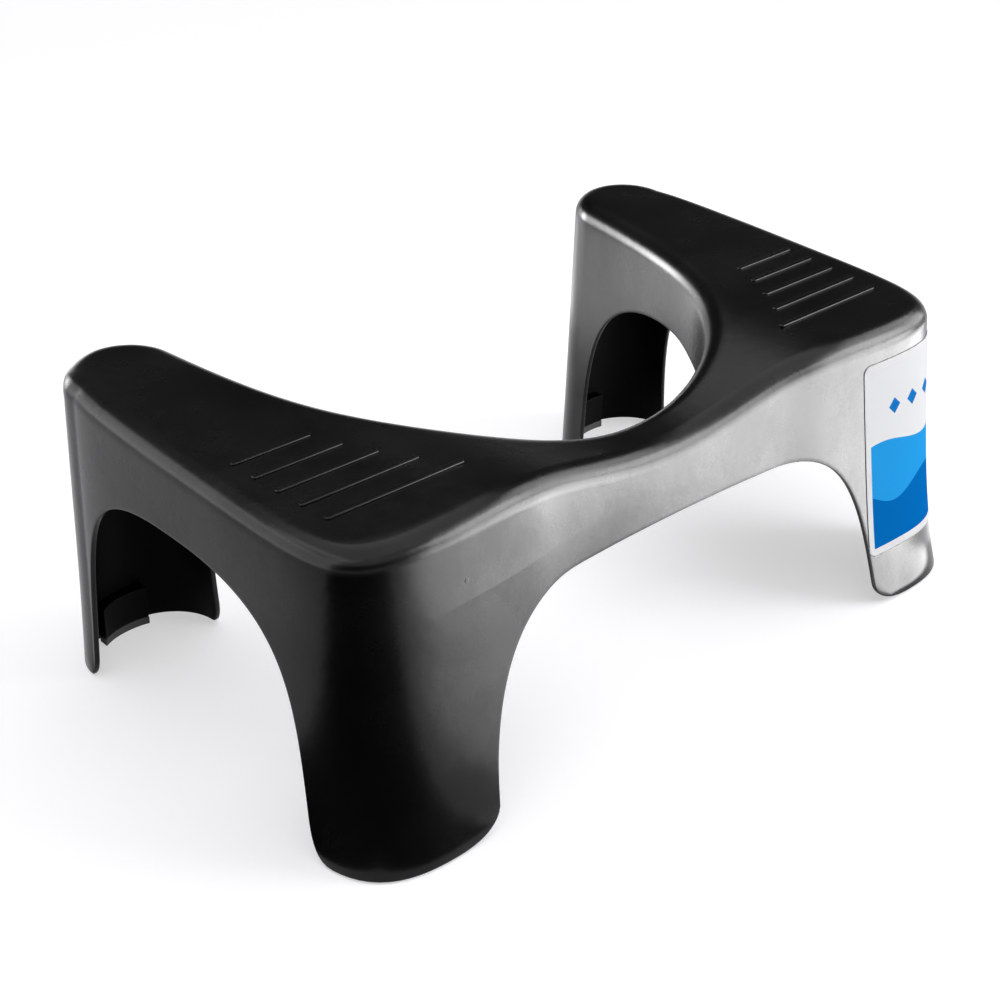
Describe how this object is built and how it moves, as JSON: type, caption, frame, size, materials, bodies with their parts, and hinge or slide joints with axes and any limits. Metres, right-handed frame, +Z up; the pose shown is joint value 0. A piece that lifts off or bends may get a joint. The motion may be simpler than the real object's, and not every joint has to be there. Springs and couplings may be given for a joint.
{
  "type": "toilet footstool",
  "caption": "U-shaped moulded plastic footstool on hollow legs, with grip ribs on its wings, for putting round the foot of a toilet.",
  "frame": {"origin": "on the floor under the middle of the stool", "axes": "+X across the stool, to the right seen from its closed front; +Y to the open side of the U; +Z up"},
  "size_m": [0.4642, 0.2894, 0.1793],
  "materials": {
    "body_plastic": "satin black, injection moulded",
    "foot_rubber": "matt black",
    "label_film": "coated adhesive label"
  },
  "bodies": {
    "root": {"stool_body": "body_plastic", "foot_pad_rear_right": "foot_rubber", "foot_pad_rear_left": "foot_rubber", "foot_pad_front_right": "foot_rubber", "foot_pad_front_left": "foot_rubber", "front_label": "label_film"}
  },
  "joints": []
}
